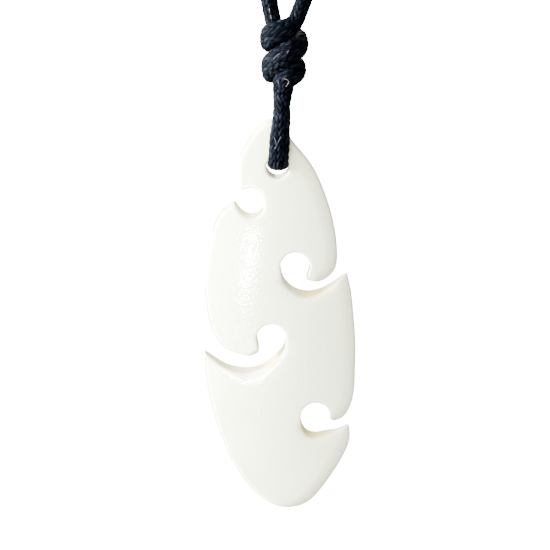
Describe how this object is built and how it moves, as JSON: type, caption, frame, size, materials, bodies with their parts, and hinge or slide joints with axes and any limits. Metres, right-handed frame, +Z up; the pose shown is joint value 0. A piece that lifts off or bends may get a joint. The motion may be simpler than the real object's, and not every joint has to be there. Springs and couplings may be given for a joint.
{
  "type": "bone wave pendant",
  "caption": "Carved bone pendant with wave-shaped cuts and a cord hole, knotted on a round waxed neck cord.",
  "frame": {"origin": "middle of the cord at the nape, where the loop hangs on the wearer's neck", "axes": "+Z up, -Y to the front of the wearer, +X to the right of a person who looks at the pendant"},
  "size_m": [0.1209, 0.1367, 0.2552],
  "materials": {
    "bone": "polished bone",
    "cord": "waxed braid"
  },
  "bodies": {
    "root": {"pendant": "bone", "pendant_loop": "cord", "knot": "cord", "neck_cord": "cord", "closing_knot": "cord"}
  },
  "joints": []
}
